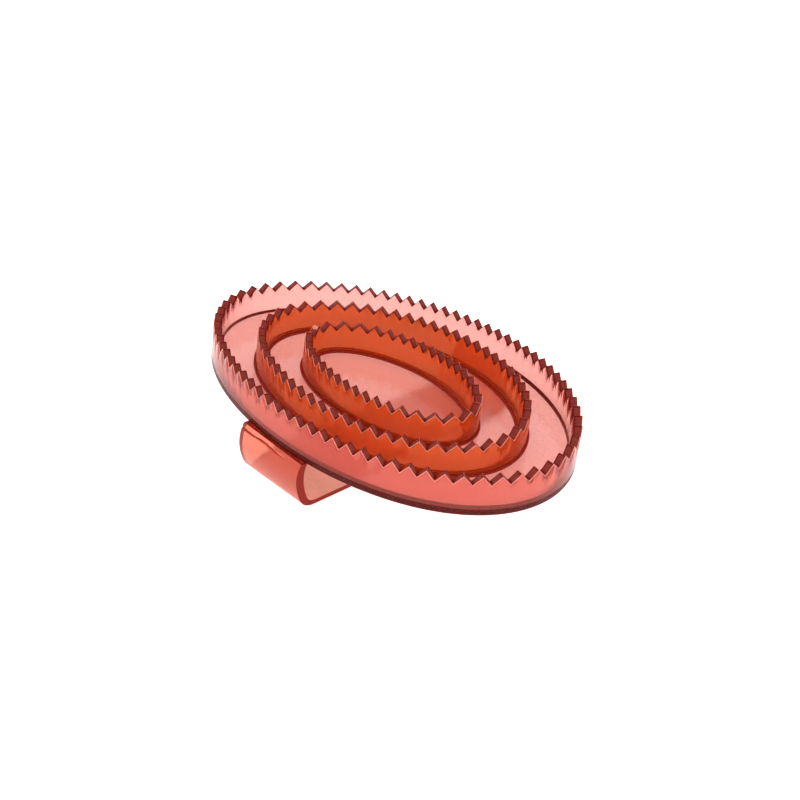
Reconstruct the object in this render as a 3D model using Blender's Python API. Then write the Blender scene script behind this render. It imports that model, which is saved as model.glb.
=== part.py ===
"""Oval grooming comb in soft translucent plastic, lying on its hand strap with the teeth up.

Metres, +Z towards the teeth, X along the oval, Y across it. The underside of the strap is at z = 0.
"""

import math

import bmesh
import bpy
import numpy as np
from mathutils import Vector
from mathutils.geometry import interpolate_bezier

# The oval plate
HALF_LENGTH = 0.0800
HALF_WIDTH = 0.0561
PLATE_THICK = 0.0025
EDGE_ROUND = 0.0004
RIM_DRAFT = 0.0004  # how far the outer ring's tips stand in from the plate's edge

# The soft plate lies a little dished and twisted: rises at the end, at the side and in between
END_RISE = 0.0001
SIDE_RISE = 0.0017
TWIST_RISE = 0.0033

# The tooth rings
TIP_HEIGHT = 0.0152  # from the plate's back face
TOOTH_DEPTH = 0.0033
WALL = 0.0031
FOOT_EXTRA = 0.0003  # how much thicker a ring is at its foot, on the inside
MIDDLE_HALF = (0.0592, 0.0420)
INNER_HALF = (0.0405, 0.0244)

# How many teeth each ring has, and how far its first tip stands past +X, in teeth
OUTER_TEETH = (71, 0.79)
MIDDLE_TEETH = (52, 0.86)
INNER_TEETH = (35, 0.0)

# Seen from the middle the teeth are nearly even: two waves of this height, in radians, shift them
SHIFT_TWICE = -0.033
SHIFT_FOUR_TIMES = 0.014

# The hand strap
STRAP_HALF_BAND = 0.0155
STRAP_DROP = 0.0185  # from the strap's underside to the plate's back face
STRAP_ROOT_Y = 0.0564
LEG_BOW = 0.0029  # how far the leg's control points stand outside its root
CORNER_INSET = 0.0002  # the corner's upper end, in from the root
CORNER_RADIUS = 0.0078
LEG_THICK = 0.0034
CROWN_THICK = 0.0018

GAP = 0.0003  # between pieces that touch on the real comb
PLATE_SEGMENTS = 96


def sag(x, y):
    """How far the soft plate stands above a flat one at this place."""
    u = x / HALF_LENGTH
    v = y / HALF_WIDTH
    return END_RISE * u * u + SIDE_RISE * v * v + TWIST_RISE * u * v


def on_comb(x, y, height):
    """The point that lies this high over the plate's back face."""
    return Vector((x, y, STRAP_DROP + height + sag(x, y)))


def clear_scene():
    for obj in list(bpy.data.objects):
        bpy.data.objects.remove(obj)


def soft_plastic(name, colour, alpha):
    material = bpy.data.materials.new(name)
    material.use_nodes = True
    shader = material.node_tree.nodes["Principled BSDF"]
    shader.inputs["Base Color"].default_value = (*colour, 1.0)
    shader.inputs["Roughness"].default_value = 0.18
    shader.inputs["Metallic"].default_value = 0.0
    shader.inputs["Alpha"].default_value = alpha
    shader.inputs["IOR"].default_value = 1.53
    return material


def add_object(name, bm, material, smooth):
    bmesh.ops.recalc_face_normals(bm, faces=bm.faces)
    mesh = bpy.data.meshes.new(name)
    bm.to_mesh(mesh)
    bm.free()
    mesh.materials.append(material)
    mesh.polygons.foreach_set("use_smooth", [smooth] * len(mesh.polygons))
    obj = bpy.data.objects.new(name, mesh)
    bpy.context.scene.collection.objects.link(obj)
    return obj


def bridge_rows(bm, rows):
    """Joins neighbouring closed rows of points with four-sided faces."""
    for low, high in zip(rows, rows[1:]):
        for i in range(len(low)):
            j = (i + 1) % len(low)
            bm.faces.new((low[i], low[j], high[j], high[i]))


def cap_row(bm, row, centre):
    for i in range(len(row)):
        bm.faces.new((row[i], row[(i + 1) % len(row)], centre))


def oval_row(bm, half_length, half_width, height):
    row = []
    for i in range(PLATE_SEGMENTS):
        angle = 2 * math.pi * i / PLATE_SEGMENTS
        point = on_comb(half_length * math.cos(angle), half_width * math.sin(angle), height)
        row.append(bm.verts.new(point))
    return row


def back_plate(material):
    bm = bmesh.new()
    face_steps = (0.25, 0.5, 0.75)
    edge_inset = EDGE_ROUND
    rows = [oval_row(bm, HALF_LENGTH * s, HALF_WIDTH * s, 0) for s in face_steps]
    rows.append(oval_row(bm, HALF_LENGTH - edge_inset, HALF_WIDTH - edge_inset, 0))
    rows.append(oval_row(bm, HALF_LENGTH, HALF_WIDTH, EDGE_ROUND))
    rows.append(oval_row(bm, HALF_LENGTH, HALF_WIDTH, PLATE_THICK))
    for s in reversed(face_steps):
        rows.append(oval_row(bm, HALF_LENGTH * s, HALF_WIDTH * s, PLATE_THICK))
    bridge_rows(bm, rows)
    cap_row(bm, rows[0], bm.verts.new(on_comb(0, 0, 0)))
    cap_row(bm, rows[-1], bm.verts.new(on_comb(0, 0, PLATE_THICK)))
    return add_object("back_plate", bm, material, True)


def tooth_angles(half_length, half_width, teeth, first_tip):
    """Angles of an ellipse at which its tips and roots stand in turn, from a tip on."""
    even = 2 * math.pi * (np.arange(2 * teeth) / 2 + first_tip) / teeth
    seen = even + SHIFT_TWICE * np.sin(2 * even) + SHIFT_FOUR_TIMES * np.sin(4 * even)
    return np.arctan2(half_length * np.sin(seen), half_width * np.cos(seen))


def tooth_ring(name, half_length, half_width, teeth, draft, material):
    """An oval wall whose top is a zigzag of V teeth cut straight across it."""
    bm = bmesh.new()
    foot_height = PLATE_THICK + GAP
    outer_foot = []
    outer_top = []
    inner_top = []
    inner_foot = []
    for i, angle in enumerate(tooth_angles(half_length, half_width, *teeth)):
        edge = Vector((half_length * math.cos(angle), half_width * math.sin(angle)))
        outward = Vector((half_width * math.cos(angle), half_length * math.sin(angle))).normalized()
        top_height = TIP_HEIGHT - TOOTH_DEPTH * (i % 2)
        top_inset = draft * (top_height - foot_height) / (TIP_HEIGHT - foot_height)
        outer = edge - outward * top_inset
        inner = edge - outward * (WALL + top_inset)
        foot = edge - outward * (WALL + FOOT_EXTRA)
        outer_foot.append(bm.verts.new(on_comb(edge.x, edge.y, foot_height)))
        outer_top.append(bm.verts.new(on_comb(outer.x, outer.y, top_height)))
        inner_top.append(bm.verts.new(on_comb(inner.x, inner.y, top_height)))
        inner_foot.append(bm.verts.new(on_comb(foot.x, foot.y, foot_height)))
    bridge_rows(bm, [outer_foot, outer_top, inner_top, inner_foot, outer_foot])
    return add_object(name, bm, material, False)


def half_outline(root_y, corner_radius, crown_z):
    """One face of half the strap as (y, z) points: from its root down the leg and round to the crown."""
    corner_y = root_y - CORNER_INSET
    corner_z = crown_z + 0.6 * corner_radius
    root = Vector((root_y, STRAP_DROP + sag(0, root_y), 0))
    below_root = Vector((root_y + LEG_BOW, 0.9 * STRAP_DROP, 0))
    above_corner = Vector((root_y + LEG_BOW, 0.6 * STRAP_DROP, 0))
    corner = Vector((corner_y, corner_z, 0))
    crown = Vector((corner_y - corner_radius, crown_z, 0))
    towards = (corner - above_corner).normalized()
    leg = interpolate_bezier(root, below_root, above_corner, corner, 9)
    bend = interpolate_bezier(
        corner,
        corner + towards * 0.5 * corner_radius,
        crown + Vector((0.45 * corner_radius, 0, 0)),
        crown,
        7,
    )
    return leg + bend[1:]


def strap_sections():
    """Pairs of outer and inner (y, z) points along half the strap, root first."""
    outer = half_outline(STRAP_ROOT_Y, CORNER_RADIUS, 0)
    inner = half_outline(STRAP_ROOT_Y - LEG_THICK, 0.6 * CORNER_RADIUS, CROWN_THICK)
    return list(zip(outer, inner))


def hand_strap(material):
    """A band that leaves the plate's two long sides and passes under it."""
    half = strap_sections()
    near = [(-o.x, o.y, -i.x, i.y) for o, i in half]
    far = [(o.x, o.y, i.x, i.y) for o, i in reversed(half)]
    sections = near + [(0, 0, 0, CROWN_THICK)] + far
    bm = bmesh.new()
    ends = []
    for x in (-STRAP_HALF_BAND, STRAP_HALF_BAND):
        outer_row = []
        inner_row = []
        for k, (outer_y, outer_z, inner_y, inner_z) in enumerate(sections):
            if k in (0, len(sections) - 1):
                outer_z = STRAP_DROP + sag(x, outer_y) - GAP
                inner_z = STRAP_DROP + sag(x, inner_y) - GAP
            outer_row.append(bm.verts.new((x, outer_y, outer_z)))
            inner_row.append(bm.verts.new((x, inner_y, inner_z)))
        ends.append(outer_row + inner_row[::-1])
    bridge_rows(bm, ends)
    count = len(sections)
    for outline in ends:
        for k in range(count - 1):
            bm.faces.new((outline[k], outline[k + 1], outline[-k - 2], outline[-k - 1]))
    return add_object("hand_strap", bm, material, False)


def build():
    clear_scene()
    plate_red = soft_plastic("plate_red", (0.66, 0.10, 0.07), 0.75)
    ring_red = soft_plastic("ring_red", (0.70, 0.11, 0.05), 0.80)
    strap_red = soft_plastic("strap_red", (0.80, 0.27, 0.22), 0.65)
    back_plate(plate_red)
    tooth_ring("outer_tooth_ring", HALF_LENGTH, HALF_WIDTH, OUTER_TEETH, RIM_DRAFT, ring_red)
    tooth_ring("middle_tooth_ring", *MIDDLE_HALF, MIDDLE_TEETH, 0, ring_red)
    tooth_ring("inner_tooth_ring", *INNER_HALF, INNER_TEETH, 0, ring_red)
    hand_strap(strap_red)


build()
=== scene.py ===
import math

import bmesh
import bpy
import numpy as np
from mathutils import Matrix, Vector
from mathutils.geometry import interpolate_bezier


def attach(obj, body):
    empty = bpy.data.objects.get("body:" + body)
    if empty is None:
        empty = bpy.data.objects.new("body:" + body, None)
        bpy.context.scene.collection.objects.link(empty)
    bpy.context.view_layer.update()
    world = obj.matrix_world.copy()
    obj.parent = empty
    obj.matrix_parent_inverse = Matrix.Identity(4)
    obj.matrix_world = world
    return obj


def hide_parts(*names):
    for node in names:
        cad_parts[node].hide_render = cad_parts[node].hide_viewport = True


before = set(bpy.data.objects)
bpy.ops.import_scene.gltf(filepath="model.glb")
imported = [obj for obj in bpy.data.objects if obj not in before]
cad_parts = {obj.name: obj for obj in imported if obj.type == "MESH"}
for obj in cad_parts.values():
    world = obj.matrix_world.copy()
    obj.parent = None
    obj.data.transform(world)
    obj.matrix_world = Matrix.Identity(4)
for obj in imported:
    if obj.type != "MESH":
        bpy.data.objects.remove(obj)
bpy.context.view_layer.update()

# ---------------------------------------------------------------- sizes, repeated from the CAD
HALF_LENGTH = 0.0800
HALF_WIDTH = 0.0561
PLATE_THICK = 0.0025
RIM_DRAFT = 0.0004
END_RISE = 0.0001
SIDE_RISE = 0.0017
TWIST_RISE = 0.0033
TIP_HEIGHT = 0.0152
TOOTH_DEPTH = 0.0033
WALL = 0.0031
FOOT_EXTRA = 0.0003
MIDDLE_HALF = (0.0592, 0.0420)
INNER_HALF = (0.0405, 0.0244)
OUTER_TEETH = (71, 0.79)
MIDDLE_TEETH = (52, 0.86)
INNER_TEETH = (35, 0.0)
SHIFT_TWICE = -0.033
SHIFT_FOUR_TIMES = 0.014

STRAP_HALF_BAND = 0.0155
STRAP_DROP = 0.0185
CORNER_RADIUS = 0.0078
LEG_THICK = 0.0034
CROWN_THICK = 0.0018

# ---------------------------------------------------------------- where this script differs, and finer detail
STRAP_ROOT_Y = 0.0569  # half a millimetre further out than in the CAD
LEG_BOW = 0.0024  # less than in the CAD, so the leg's outer face stays about where it is there
CORNER_INSET = 0.0006  # more than in the CAD, so the corner stays about where it is there
CONTACT = 0.00003  # between pieces that are one moulding on the real comb
FILLET = 0.0009  # where an inner ring meets the plate
RIM_FILLET = 0.0002  # the same at the outer ring
OUTLINE = 0.0005  # width of the dark line of painted shade round every tooth's sloping faces
TOOTH_ROUND = 0.0003  # rounding of every tooth edge
EDGE_ROUND = 0.0005  # of the plate's back edge, where the CAD has a 0.4 mm chamfer
LOOP = 480  # points round the plate
CREASE_DEPTH = 0.0005  # the fold under each of the strap's roots
CREASE_BELOW = 0.0016  # from the root to the fold
CREASE_WIDTH = 0.0003
CREASE_END = 0.011  # the fold is gone at this x, and fades over the stretch before it
CREASE_FADE = 0.009
CREASE_WAVER = 0.0002  # how far the fold's line wanders up and down
LEG_POINTS = 97  # along a leg of the strap
FINE_POINTS = 24  # as many from the root on stay close together, for the fold
LEG_STRIDE = 6  # and of the rest, one in six is kept
BEND_POINTS = 17  # round a corner of the strap
STRAP_ROWS = 33  # across the strap's band
PER_TOOTH = 12  # steps in one tooth of a ring
GLINT_TIPS = (0, 18)  # teeth of the inner ring with a painted glint on the tip

# Material slots of the tooth rings, the plate and the strap
WALL_SLOT = 0
JOINED_SLOT = 1
# the sloping cut faces of the teeth: their dark mauve colour is painted shade
SHADED_FACE_SLOT = 2
# the dark maroon line round the tooth faces: painted shade
SHADE_OUTLINE_SLOT = 3
# the pale strip along a ring's top outer edge, and a few tooth tips: painted highlight
HIGHLIGHT_SLOT = 4
# the fillet where a ring meets the plate: darkened with painted shade
FOOT_SHADE_SLOT = 5
# the plate's rounded back edge: a dark band of painted shade
PLATE_EDGE_SHADE_SLOT = 1
PLATE_JOINED_SLOT = 2
STRAP_JOINED_SLOT = 1
# the strap's end faces and the fold under its roots: dark painted shade
STRAP_SHADE_SLOT = 2

# The photograph's view, as fitted to the photo. Angles are in degrees
VIEW_AZIMUTH = -49.0057
VIEW_ELEVATION = 30.44371
VIEW_ROLL = 7.60514
MIDDLE_IN_VIEW = (-0.00487, 0.000116, -0.47072)  # the plate's middle, to the camera's right, up and back
LENS = 55.8945  # millimetres, for a film of the width below
FILM_WIDTH = 36

BOUNCES = 80  # light crosses many walls of clear plastic


def sag(x, y):
    """How far the soft plate stands above a flat one at this place."""
    u = x / HALF_LENGTH
    v = y / HALF_WIDTH
    return END_RISE * u * u + SIDE_RISE * v * v + TWIST_RISE * u * v


def on_comb(x, y, height):
    return Vector((x, y, STRAP_DROP + height + sag(x, y)))


# ---------------------------------------------------------------- materials
# What a metre of the plastic takes out of red, green and blue light
PALE_PLASTIC = (42.0, 184.0, 208.0)
RIM_PLASTIC = (18.0, 140.0, 160.0)
# The strap's stronger absorption is partly its own deeper tint and partly painted shade, darkening it under
# the plate.
STRAP_PLASTIC = (50.0, 270.0, 370.0)
DEEP_PLASTIC = (2.0, 115.0, 250.0)

USUAL_NOISE = (0.35, 0.65)  # most of the noise node's values lie between these


class Nodes:
    """Short calls that add nodes to one material."""

    def __init__(self, name):
        self.material = bpy.data.materials.new(name)
        self.material.use_nodes = True
        self.tree = self.material.node_tree
        self.tree.nodes.clear()
        self.out = self.add("ShaderNodeOutputMaterial")

    def add(self, kind):
        return self.tree.nodes.new(kind)

    def link(self, source, target):
        self.tree.links.new(source, target)


def add_absorption(nodes, absorption):
    density = max(absorption) / 0.99
    volume = nodes.add("ShaderNodeVolumeAbsorption")
    volume.inputs["Color"].default_value = (*[1 - a / density for a in absorption], 1)
    volume.inputs["Density"].default_value = density
    nodes.link(volume.outputs["Volume"], nodes.out.inputs["Volume"])


def noise_between(nodes, scale, detail, low, high):
    """A value that wanders between low and high; scale is in features for each metre."""
    place = nodes.add("ShaderNodeTexCoord")
    noise = nodes.add("ShaderNodeTexNoise")
    noise.inputs["Scale"].default_value = scale
    noise.inputs["Detail"].default_value = detail
    fit = nodes.add("ShaderNodeMapRange")
    fit.inputs["From Min"].default_value = USUAL_NOISE[0]
    fit.inputs["From Max"].default_value = USUAL_NOISE[1]
    fit.inputs["To Min"].default_value = low
    fit.inputs["To Max"].default_value = high
    nodes.link(place.outputs["Object"], noise.inputs["Vector"])
    nodes.link(noise.outputs["Fac"], fit.inputs["Value"])
    return fit.outputs["Result"]


def uneven_surface(nodes, scale, height):
    bump = nodes.add("ShaderNodeBump")
    bump.inputs["Distance"].default_value = height
    nodes.link(noise_between(nodes, scale, 3, 0, 1), bump.inputs["Height"])
    return bump.outputs["Normal"]


def moulded_plastic(
    name, haze, milk, absorption, roughness=0.12, gloss=0.5, grain=(1400, 0.00001), mottle=1800
):
    """Clear red plastic whose surface scatters a share of the light in the milk's colour.

    That share wanders between haze[0] and haze[1]. The grain is the bump's scale and height, and mottle is
    the scale of the haze.
    """
    nodes = Nodes(name)
    normal = uneven_surface(nodes, *grain)
    clear = nodes.add("ShaderNodeBsdfPrincipled")
    clear.inputs["Base Color"].default_value = (1, 0.97, 0.97, 1)
    clear.inputs["Roughness"].default_value = roughness
    clear.inputs["IOR"].default_value = 1.5
    clear.inputs["Transmission Weight"].default_value = 1.0
    clear.inputs["Specular IOR Level"].default_value = gloss
    milky = nodes.add("ShaderNodeBsdfPrincipled")
    milky.inputs["Base Color"].default_value = (*milk, 1)
    milky.inputs["Roughness"].default_value = 0.4
    milky.inputs["Specular IOR Level"].default_value = gloss / 2
    mix = nodes.add("ShaderNodeMixShader")
    nodes.link(noise_between(nodes, mottle, 6, *haze), mix.inputs["Fac"])
    nodes.link(normal, clear.inputs["Normal"])
    nodes.link(normal, milky.inputs["Normal"])
    nodes.link(clear.outputs["BSDF"], mix.inputs[1])
    nodes.link(milky.outputs["BSDF"], mix.inputs[2])
    nodes.link(mix.outputs["Shader"], nodes.out.inputs["Surface"])
    add_absorption(nodes, absorption)
    return nodes.material


def joined_face(name, absorption):
    """Where two pieces are one moulding, light passes straight through."""
    nodes = Nodes(name)
    clear = nodes.add("ShaderNodeBsdfTransparent")
    nodes.link(clear.outputs["BSDF"], nodes.out.inputs["Surface"])
    add_absorption(nodes, absorption)
    return nodes.material


# ---------------------------------------------------------------- meshes
def make_piece(name, bm, materials, node):
    bmesh.ops.recalc_face_normals(bm, faces=bm.faces)
    mesh = bpy.data.meshes.new(name)
    bm.to_mesh(mesh)
    bm.free()
    for material in materials:
        mesh.materials.append(material)
    mesh.polygons.foreach_set("use_smooth", [True] * len(mesh.polygons))
    mesh.set_sharp_from_angle(angle=math.radians(40))
    obj = bpy.data.objects.new(name, mesh)
    bpy.context.scene.collection.objects.link(obj)
    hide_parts(node)
    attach(obj, "root")
    return obj


def bridge_rows(bm, rows, slots):
    """Joins neighbouring closed rows of points; slots gives each band's material slot."""
    for k, (low, high) in enumerate(zip(rows, rows[1:])):
        for i in range(len(low)):
            j = (i + 1) % len(low)
            face = bm.faces.new((low[i], low[j], high[j], high[i]))
            face.material_index = slots[k]


def edge_and_outward(half, angle):
    c = math.cos(angle)
    s = math.sin(angle)
    edge = Vector((half[0] * c, half[1] * s))
    outward = Vector((half[1] * c, half[0] * s)).normalized()
    return edge, outward


def loop_row(bm, half, offset, height):
    row = []
    for i in range(LOOP):
        edge, outward = edge_and_outward(half, 2 * math.pi * i / LOOP)
        point = edge + outward * offset
        row.append(bm.verts.new(on_comb(point.x, point.y, height)))
    return row


def root_inner_y():
    return STRAP_ROOT_Y - LEG_THICK


def mark_strap_roots(bm):
    """Cuts the two places where the strap grows out of the plate's back face, and joins them to it."""
    bm.normal_update()
    cuts = (
        (0, -STRAP_HALF_BAND),
        (0, STRAP_HALF_BAND),
        (1, -root_inner_y()),
        (1, root_inner_y()),
    )
    for axis, place in cuts:
        under = [f for f in bm.faces if abs(f.normal.z) > 0.9 and is_back_face(f)]
        edges = list({e for f in under for e in f.edges})
        corners = list({v for f in under for v in f.verts})
        where = [0, 0, 0]
        where[axis] = place
        normal = [0, 0, 0]
        normal[axis] = 1
        bmesh.ops.bisect_plane(bm, geom=under + edges + corners, plane_co=where, plane_no=normal)
    for face in bm.faces:
        middle = face.calc_center_median()
        beside = abs(middle.x) < STRAP_HALF_BAND and abs(middle.y) > root_inner_y()
        if beside and is_back_face(face):
            face.material_index = PLATE_JOINED_SLOT


def is_back_face(face):
    allowed = CONTACT / 10
    return all(abs(v.co.z - STRAP_DROP - sag(v.co.x, v.co.y)) < allowed for v in face.verts)


def back_plate(plastic, edge, joined):
    bm = bmesh.new()
    outer = (HALF_LENGTH, HALF_WIDTH)
    wall_foot = WALL + FOOT_EXTRA
    rows = []
    slots = []

    def add(half, offset, height, slot=0):
        if rows:
            slots.append(slot)
        rows.append(loop_row(bm, half, offset, height))

    for share in (0.12, 0.3, 0.5, 0.7, 0.85, 0.94):
        add((HALF_LENGTH * share, HALF_WIDTH * share), 0, 0)
    add(outer, -EDGE_ROUND, 0)
    # the rounded and upright edge rows: dark painted shade
    for k in (1, 2):
        turn = math.pi / 2 * k / 3
        height = EDGE_ROUND * (1 - math.cos(turn))
        add(outer, EDGE_ROUND * (math.sin(turn) - 1), height, PLATE_EDGE_SHADE_SLOT)
    add(outer, 0, EDGE_ROUND, PLATE_EDGE_SHADE_SLOT)
    add(outer, 0, PLATE_THICK, PLATE_EDGE_SHADE_SLOT)
    add(outer, -wall_foot - RIM_FILLET, PLATE_THICK, PLATE_JOINED_SLOT)
    add(MIDDLE_HALF, FILLET, PLATE_THICK)
    add(MIDDLE_HALF, -wall_foot - FILLET, PLATE_THICK, PLATE_JOINED_SLOT)
    add(INNER_HALF, FILLET, PLATE_THICK)
    add(INNER_HALF, -wall_foot - FILLET, PLATE_THICK, PLATE_JOINED_SLOT)
    for share in (0.6, 0.3, 0.1):
        add((INNER_HALF[0] * share, INNER_HALF[1] * share), 0, PLATE_THICK)
    bridge_rows(bm, rows, slots)
    for row, height in ((rows[0], 0), (rows[-1], PLATE_THICK)):
        centre = bm.verts.new(on_comb(0, 0, height))
        for i in range(LOOP):
            bm.faces.new((row[i], row[(i + 1) % LOOP], centre))
    mark_strap_roots(bm)
    return make_piece("comb_back_plate", bm, [plastic, edge, joined], "back_plate")


def tooth_angle(half, teeth, place):
    """The ellipse's angle at this place, counted in teeth from the first tip."""
    count, first_tip = teeth
    even = 2 * math.pi * (place + first_tip) / count
    seen = even + SHIFT_TWICE * math.sin(2 * even) + SHIFT_FOUR_TIMES * math.sin(4 * even)
    return math.atan2(half[0] * math.sin(seen), half[1] * math.cos(seen))


def tooth_height(step):
    """Height over the roots at this column of a tooth, with its tip and root slightly rounded."""
    place = abs(step / PER_TOOTH - 0.5) * 2
    soft = 0.05
    height = place
    if place < soft:
        height = soft / 2 + place * place / (2 * soft)
    if place > 1 - soft:
        left = 1 - place
        height = 1 - soft / 2 - left * left / (2 * soft)
    return TOOTH_DEPTH * height


def column_steps():
    """Where the columns of one tooth stand, closer together at the tip and the root, with material slots."""
    # columns beside each tip and root carry the dark line of painted shade
    tip = [(0, WALL_SLOT), (0.15, WALL_SLOT), (0.3, SHADE_OUTLINE_SLOT)]
    slope_down = [(step, SHADED_FACE_SLOT) for step in (0.9, 2, 4)]
    root = [(step, SHADE_OUTLINE_SLOT) for step in (5.2, 5.7, 5.85, 6, 6.15, 6.3)]
    slope_up = [(step, SHADED_FACE_SLOT) for step in (6.8, 8, 10)]
    next_tip = [(11.1, SHADE_OUTLINE_SLOT), (11.7, WALL_SLOT), (11.85, WALL_SLOT)]
    return tip + slope_down + root + slope_up + next_tip


def ring_profile(top, fillet_out, fillet_in):
    """(offset, height, slot) points round the wall: up the outside, over the top and down the inside."""
    foot = PLATE_THICK + CONTACT
    inner_foot = -WALL - FOOT_EXTRA
    bend = 0.3 * TOOTH_ROUND
    points = []
    if fillet_out:
        # the outer fillet at the foot: dark painted shade
        for k in range(4):
            turn = math.pi / 2 * k / 4
            height = foot + fillet_out * (1 - math.cos(turn))
            points.append((fillet_out * (1 - math.sin(turn)), height, FOOT_SHADE_SLOT))
        points.append((0, foot + fillet_out, WALL_SLOT))
    else:
        points.append((0, foot, WALL_SLOT))
    points += [
        (0, (foot + top) / 2, WALL_SLOT),
        # the outer rounding of the top: a pale strip of painted highlight
        (0, top - TOOTH_ROUND, HIGHLIGHT_SLOT),
        (-bend, top - bend, HIGHLIGHT_SLOT),
        # the top's edges: a dark line of painted shade
        (-TOOTH_ROUND, top, SHADE_OUTLINE_SLOT),
        # the tooth face takes each column's slot: mostly the dark painted shade
        (-OUTLINE, top, SHADED_FACE_SLOT),
        (-WALL / 2, top, SHADED_FACE_SLOT),
        (-WALL + OUTLINE, top, SHADE_OUTLINE_SLOT),
        (-WALL + TOOTH_ROUND, top, SHADE_OUTLINE_SLOT),
        (-WALL + bend, top - bend, SHADE_OUTLINE_SLOT),
        (-WALL, top - TOOTH_ROUND, WALL_SLOT),
        (-WALL - FOOT_EXTRA / 2, (foot + top) / 2, WALL_SLOT),
        # the inner fillet at the foot: dark painted shade
        (inner_foot, foot + fillet_in, FOOT_SHADE_SLOT),
    ]
    for k in range(1, 4):
        turn = math.pi / 2 * k / 4
        height = foot + fillet_in * (1 - math.sin(turn))
        points.append((inner_foot - fillet_in * (1 - math.cos(turn)), height, FOOT_SHADE_SLOT))
    points.append((inner_foot - fillet_in, foot, JOINED_SLOT))
    return points


def tooth_ring(name, half, teeth, draft, fillet_out, fillet_in, materials, node, glint_tips=()):
    """An oval wall whose top is a zigzag of V teeth cut straight across it; a few tips carry a painted glint.
    """
    bm = bmesh.new()
    columns = []
    column_slots = []
    full = TIP_HEIGHT - PLATE_THICK
    slots = [slot for offset, height, slot in ring_profile(TIP_HEIGHT, fillet_out, fillet_in)]
    for tooth in range(teeth[0]):
        for step, column_slot in column_steps():
            edge, outward = edge_and_outward(half, tooth_angle(half, teeth, tooth + step / PER_TOOTH))
            top = TIP_HEIGHT - TOOTH_DEPTH + tooth_height(step)
            column = []
            for offset, height, slot in ring_profile(top, fillet_out, fillet_in):
                inset = draft * (height - PLATE_THICK) / full
                point = edge + outward * (offset - inset)
                column.append(bm.verts.new(on_comb(point.x, point.y, height)))
            # a painted glint: these tips take the pale highlight material
            if (tooth in glint_tips and step < 2) or (tooth + 1 in glint_tips and step > 9):
                column_slot = HIGHLIGHT_SLOT
            columns.append(column)
            column_slots.append(column_slot)
    for i, here in enumerate(columns):
        there = columns[(i + 1) % len(columns)]
        for k, slot in enumerate(slots):
            m = (k + 1) % len(slots)
            face = bm.faces.new((here[k], there[k], there[m], here[m]))
            face.material_index = column_slots[i] if slot == SHADED_FACE_SLOT else slot
    return make_piece(name, bm, materials, node)


def half_outline(root_y, corner_radius, crown_z):
    """Half of one face of the strap, from its root down the leg and round to the crown."""
    corner_y = root_y - CORNER_INSET
    corner_z = crown_z + 0.6 * corner_radius
    root = Vector((root_y, STRAP_DROP + sag(0, root_y), 0))
    below_root = Vector((root_y + LEG_BOW, 0.9 * STRAP_DROP, 0))
    above_corner = Vector((root_y + LEG_BOW, 0.6 * STRAP_DROP, 0))
    corner = Vector((corner_y, corner_z, 0))
    crown = Vector((corner_y - corner_radius, crown_z, 0))
    towards = (corner - above_corner).normalized()
    leg = interpolate_bezier(root, below_root, above_corner, corner, LEG_POINTS)
    bend = interpolate_bezier(
        corner,
        corner + towards * 0.5 * corner_radius,
        crown + Vector((0.45 * corner_radius, 0, 0)),
        crown,
        BEND_POINTS,
    )
    return leg[:FINE_POINTS] + leg[FINE_POINTS::LEG_STRIDE] + bend[1:]


def crease(x, below):
    """How far the fold under the root pushes the strap's face in: deepest at -X, gone towards +X."""
    fade = min(max((CREASE_END - x) / CREASE_FADE, 0), 1)
    ragged = 0.8 + 0.2 * math.sin(1700 * x) * math.sin(710 * x + 1)
    line = CREASE_BELOW + CREASE_WAVER * math.sin(430 * x)
    return CREASE_DEPTH * fade * ragged * math.exp(-(((below - line) / CREASE_WIDTH) ** 2))


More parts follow.
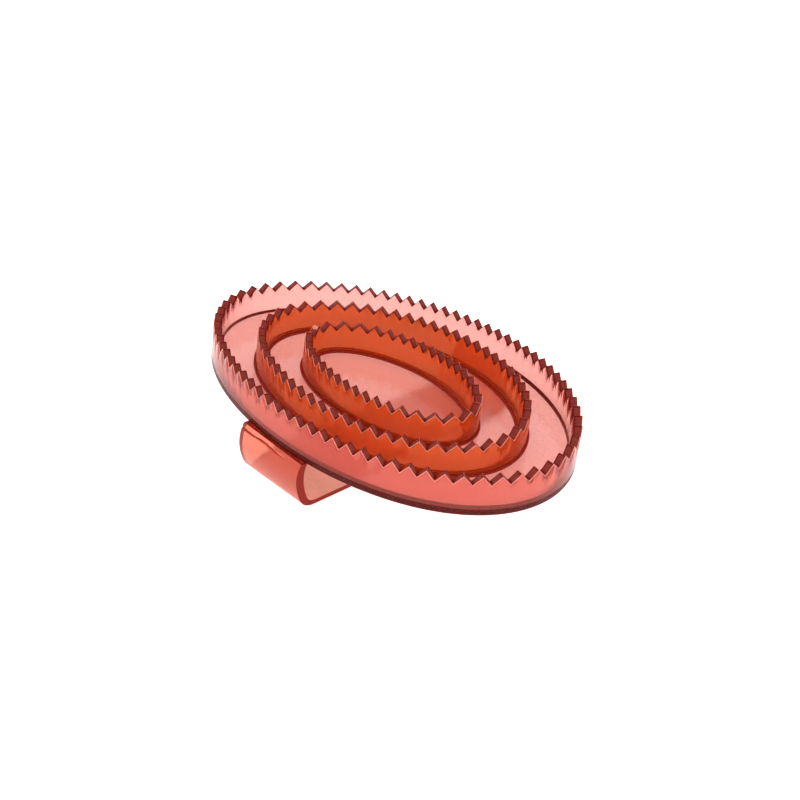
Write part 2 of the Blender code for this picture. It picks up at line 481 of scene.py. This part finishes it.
def hand_strap(materials):
    outer = half_outline(STRAP_ROOT_Y, CORNER_RADIUS, 0)
    inner = half_outline(root_inner_y(), 0.6 * CORNER_RADIUS, CROWN_THICK)
    half = list(zip(outer, inner))
    near = [(-o.x, o.y, -i.x, i.y) for o, i in half]
    far = [(o.x, o.y, i.x, i.y) for o, i in reversed(half)]
    sections = near + [(0, 0, 0, CROWN_THICK)] + far
    bm = bmesh.new()
    ends = []
    folded = []
    last = len(sections) - 1
    root_z = outer[0].y
    for x in np.linspace(-STRAP_HALF_BAND, STRAP_HALF_BAND, STRAP_ROWS):
        outer_row = []
        inner_row = []
        folds = []
        lip_y = (HALF_WIDTH - EDGE_ROUND) * math.sqrt(1 - (x / (HALF_LENGTH - EDGE_ROUND)) ** 2)
        for k, (outer_y, outer_z, inner_y, inner_z) in enumerate(sections):
            side = math.copysign(1, outer_y)
            fold = 0
            if k in (0, last):
                outer_z = STRAP_DROP + sag(x, outer_y) - CONTACT
                inner_z = STRAP_DROP + sag(x, inner_y) - CONTACT
            elif outer_z > root_z - 4 * CREASE_BELOW:
                share = 1 - (root_z - outer_z) / (4 * CREASE_BELOW)
                fold = crease(x, root_z - outer_z)
                outer_z += share * (sag(x, outer_y) - sag(0, outer_y))
                outer_y -= side * fold
            folds.append(fold)
            outer_row.append(bm.verts.new((x, outer_y, outer_z)))
            inner_row.append(bm.verts.new((x, inner_y, inner_z)))
        near_lip = bm.verts.new((x, -lip_y, STRAP_DROP + sag(x, -lip_y) - CONTACT))
        far_lip = bm.verts.new((x, lip_y, STRAP_DROP + sag(x, lip_y) - CONTACT))
        ends.append(outer_row + [far_lip] + inner_row[::-1] + [near_lip])
        folded.append(folds)
    count = len(ends[0])
    for low, high, folds in zip(ends, ends[1:], folded):
        for k in range(count):
            m = (k + 1) % count
            face = bm.faces.new((low[k], low[m], high[m], high[k]))
            if k in (last + 1, count - 2):
                face.material_index = STRAP_JOINED_SLOT
            # faces in the fold take the dark painted shade
            elif k < last and folds[k] > CREASE_DEPTH / 2:
                face.material_index = STRAP_SHADE_SLOT
    for end in (ends[0], ends[-1]):
        outer_row = end[: last + 1]
        inner_row = end[last + 2 : count - 1][::-1]
        outlines = [
            (outer_row[0], outer_row[1], inner_row[1], inner_row[0], end[-1]),
            (outer_row[-2], outer_row[-1], end[last + 1], inner_row[-1], inner_row[-2]),
        ]
        for k in range(1, last - 1):
            outlines.append((outer_row[k], outer_row[k + 1], inner_row[k + 1], inner_row[k]))
        # the end faces take the dark painted shade
        for outline in outlines:
            bm.faces.new(outline).material_index = STRAP_SHADE_SLOT
    return make_piece("comb_hand_strap", bm, materials, "hand_strap")


# ---------------------------------------------------------------- the studio
def studio():
    floor = bpy.data.meshes.new("floor")
    size = 3.0
    under = -CONTACT
    floor.from_pydata(
        [(-size, -size, under), (size, -size, under), (size, size, under), (-size, size, under)],
        [],
        [(0, 1, 2, 3)],
    )
    obj = bpy.data.objects.new("studio_floor", floor)
    bpy.context.scene.collection.objects.link(obj)
    nodes = Nodes("studio_floor_white")
    shader = nodes.add("ShaderNodeBsdfPrincipled")
    shader.inputs["Base Color"].default_value = (0.6, 0.6, 0.6, 1)
    shader.inputs["Roughness"].default_value = 0.9
    shader.inputs["Specular IOR Level"].default_value = 0.0
    shader.inputs["Emission Color"].default_value = (1, 1, 1, 1)
    shader.inputs["Emission Strength"].default_value = 0.8
    nodes.link(shader.outputs["BSDF"], nodes.out.inputs["Surface"])
    floor.materials.append(nodes.material)

    world = bpy.data.worlds.new("studio_world")
    world.use_nodes = True
    background = world.node_tree.nodes["Background"]
    background.inputs["Color"].default_value = (1, 1, 1, 1)
    background.inputs["Strength"].default_value = 1.3
    bpy.context.scene.world = world


def add_camera():
    """The photograph's view: the side it looks from, its roll, and where the comb lies in it."""
    azimuth = math.radians(VIEW_AZIMUTH)
    elevation = math.radians(VIEW_ELEVATION)
    across = math.cos(elevation)
    forward = -Vector((across * math.cos(azimuth), across * math.sin(azimuth), math.sin(elevation)))
    level = forward.to_track_quat("-Z", "Y").to_matrix()
    turn = level @ Matrix.Rotation(math.radians(VIEW_ROLL), 3, "Z")
    place = Vector((0, 0, STRAP_DROP)) - turn @ Vector(MIDDLE_IN_VIEW)
    camera = bpy.data.cameras.new("photo_camera")
    camera.lens = LENS
    camera.sensor_width = FILM_WIDTH
    camera.clip_start = 0.01
    camera.clip_end = 20
    obj = bpy.data.objects.new("photo_camera", camera)
    obj.matrix_world = Matrix.Translation(place) @ turn.to_4x4()
    bpy.context.scene.collection.objects.link(obj)
    bpy.context.scene.camera = obj


def settings():
    scene = bpy.context.scene
    scene.view_settings.view_transform = "Standard"
    scene.view_settings.exposure = 0.1
    scene.view_settings.gamma = 0.8
    scene.cycles.max_bounces = BOUNCES
    scene.cycles.transmission_bounces = BOUNCES
    scene.cycles.glossy_bounces = BOUNCES
    scene.cycles.transparent_max_bounces = BOUNCES


def build():
    plastic = moulded_plastic("red_plastic", (0.24, 0.36), (0.82, 0.18, 0.11), PALE_PLASTIC)
    # near-black red milk on the plate's edge: painted shade; the rougher, bumpier surface is the edge's own
    edge = moulded_plastic(
        "red_plastic_edge_painted_shade", (0.3, 0.8), (0.15, 0.006, 0.003), PALE_PLASTIC, 0.3, 0.1, (2600, 0.00005), 2600
    )
    joined = joined_face("red_plastic_inside", PALE_PLASTIC)
    rim = moulded_plastic("rim_plastic", (0.17, 0.27), (0.85, 0.16, 0.1), RIM_PLASTIC)
    rim_joined = joined_face("rim_plastic_inside", RIM_PLASTIC)
    strap = moulded_plastic("strap_plastic", (0.1, 0.2), (0.82, 0.15, 0.08), STRAP_PLASTIC)
    strap_joined = joined_face("strap_plastic_inside", STRAP_PLASTIC)
    # dark red on the strap's ends and in its fold: painted shade
    strap_painted_shade = moulded_plastic("strap_painted_shade", (0.4, 0.6), (0.5, 0.035, 0.01), STRAP_PLASTIC, 0.3, 0.1)
    deep = moulded_plastic("deep_red_plastic", (0.32, 0.44), (0.97, 0.17, 0.014), DEEP_PLASTIC, gloss=0.35)
    deep_joined = joined_face("deep_red_plastic_inside", DEEP_PLASTIC)
    # dark mauve on the sloping tooth faces: painted shade
    face = moulded_plastic("tooth_face_painted_shade", (0.75, 0.9), (0.28, 0.055, 0.04), DEEP_PLASTIC, 0.3, 0.15)
    # near-black maroon round the tooth faces: painted shade
    outline = moulded_plastic("tooth_outline_painted_shade", (0.75, 0.9), (0.17, 0.005, 0.004), DEEP_PLASTIC, 0.3, 0.1)
    # pale pink milk on the tooth edges: painted highlight
    painted_highlight = moulded_plastic("tooth_painted_highlight", (0.6, 0.7), (1, 0.4, 0.3), RIM_PLASTIC)
    # dark milk on the rings' feet: painted shade
    rim_foot_painted_shade = moulded_plastic("rim_foot_painted_shade", (0.6, 0.8), (0.5, 0.09, 0.06), RIM_PLASTIC, 0.3, 0.1)
    deep_foot_painted_shade = moulded_plastic("deep_foot_painted_shade", (0.6, 0.8), (0.42, 0.03, 0.012), DEEP_PLASTIC, 0.3, 0.1)
    pale_ring = [rim, rim_joined, face, outline, painted_highlight, rim_foot_painted_shade]
    deep_ring = [deep, deep_joined, face, outline, painted_highlight, deep_foot_painted_shade]
    back_plate(plastic, edge, joined)
    tooth_ring(
        "comb_outer_ring",
        (HALF_LENGTH, HALF_WIDTH),
        OUTER_TEETH,
        RIM_DRAFT,
        None,
        RIM_FILLET,
        pale_ring,
        "outer_tooth_ring",
    )
    tooth_ring(
        "comb_middle_ring",
        MIDDLE_HALF,
        MIDDLE_TEETH,
        0,
        FILLET,
        FILLET,
        deep_ring,
        "middle_tooth_ring",
    )
    tooth_ring(
        "comb_inner_ring",
        INNER_HALF,
        INNER_TEETH,
        0,
        FILLET,
        FILLET,
        deep_ring,
        "inner_tooth_ring",
        GLINT_TIPS,
    )
    hand_strap([strap, strap_joined, strap_painted_shade])
    studio()
    add_camera()
    settings()


build()
bpy.context.view_layer.update()
